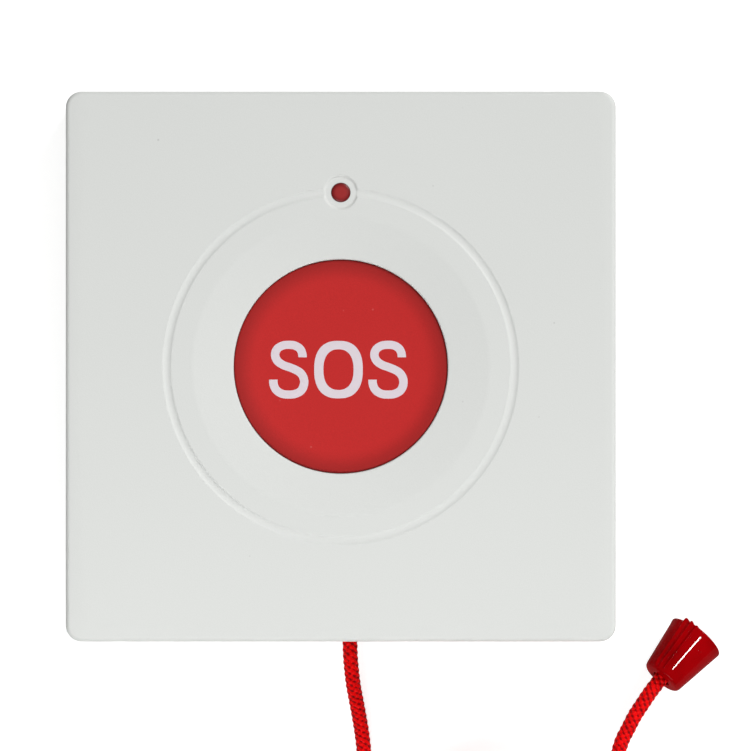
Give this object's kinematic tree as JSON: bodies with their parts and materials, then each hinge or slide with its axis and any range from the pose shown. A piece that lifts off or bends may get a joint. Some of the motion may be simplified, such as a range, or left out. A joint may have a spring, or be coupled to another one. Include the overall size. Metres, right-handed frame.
{
  "type": "emergency pull cord alarm",
  "caption": "Square wall-mounted emergency alarm with a large round call button, a status lamp on a ring groove, and a braided pull cord that ends in a tapered knob.",
  "frame": {"origin": "centre of the flat rear face that goes against the wall", "axes": "+Z out of the front face, +Y towards the top edge as it hangs on a wall, +X to the right as seen from the front; the cord leaves the bottom edge at -Y"},
  "size_m": [0.1027, 0.1434, 0.02],
  "materials": {
    "plate_white": "satin moulded ABS with a fine grain",
    "base_white": "matte moulded ABS",
    "button_red": "satin red ABS with a fine grain",
    "lens_red": "clear tinted red epoxy",
    "knob_red": "glossy dark red plastic",
    "cord_red": "diagonally braided polyester",
    "board_green": "solder resist on glass laminate",
    "switch_black": "matte black moulding",
    "spacer_white": "natural nylon",
    "acetal_ivory": "satin natural acetal",
    "spring_steel": "drawn spring steel",
    "screw_steel": "bright zinc plate",
    "nickel": "nickel plate",
    "copper": "enamelled copper wire",
    "cell_gold": "printed metal jacket",
    "sleeve_blue": "shrunk plastic sleeve"
  },
  "bodies": {
    "housing": {"front_cover": "plate_white", "rear_base": "base_white", "circuit_board": "board_green", "board_screw_1": "screw_steel", "board_screw_2": "screw_steel", "board_screw_3": "screw_steel", "board_screw_4": "screw_steel", "button_spring": "spring_steel", "button_switch": "switch_black", "status_led": "lens_red", "led_lead_1": "nickel", "led_lead_2": "nickel", "led_spacer": "spacer_white", "radio_chip": "switch_black", "crystal_can": "nickel", "capacitor_can": "sleeve_blue", "aerial_coil": "copper", "battery": "cell_gold", "battery_contact_plus": "nickel", "battery_contact_minus": "nickel", "battery_spring": "nickel", "slider_keeper": "base_white", "keeper_screw_1": "screw_steel", "keeper_screw_2": "screw_steel", "pull_spring": "spring_steel", "cord_bush": "spacer_white", "pull_switch": "switch_black"},
    "button": {"button_cap": "button_red"},
    "button_plunger": {"button_switch_plunger": "switch_black"},
    "pull": {"pull_slider": "acetal_ivory", "cord_knot": "cord_red", "pull_cord_feed": "cord_red", "pull_cord_coil": "cord_red", "pull_cord_tail": "cord_red", "pull_knob": "knob_red", "knob_knot": "cord_red"},
    "pull_lever": {"pull_switch_lever": "spring_steel"},
    "pull_plunger": {"pull_switch_plunger": "button_red"}
  },
  "joints": [
    {"name": "button_press", "type": "slide", "parent": "housing", "child": "button", "axis": [0, 0, -1], "range_m": [0, 0.0012], "stiffness_N_per_m": 600, "springref_m": -0.002, "deforming": ["button_spring"]},
    {"name": "button_plunger_press", "type": "slide", "parent": "housing", "child": "button_plunger", "axis": [0, 0, -1], "range_m": [0, 0.0012]},
    {"name": "pull_slide", "type": "slide", "parent": "housing", "child": "pull", "axis": [0, -1, 0], "range_m": [0, 0.004], "stiffness_N_per_m": 500, "springref_m": -0.003, "deforming": ["pull_spring"]},
    {"name": "pull_lever_swing", "type": "hinge", "parent": "housing", "child": "pull_lever", "pos_m": [-0.0057, -0.0359, 0.006], "axis": [0, 0, 1], "range_deg": [0, 9.5]},
    {"name": "pull_plunger_press", "type": "slide", "parent": "housing", "child": "pull_plunger", "axis": [-1, 0, 0], "range_m": [0, 0.0005]}
  ],
  "couplings": [
    {"joint": "button_plunger_press", "follows": "button_press", "ratio": 1},
    {"joint": "pull_lever_swing", "follows": "pull_slide", "rad_per_m": 41.45},
    {"joint": "pull_plunger_press", "follows": "pull_slide", "ratio": 0.125}
  ]
}
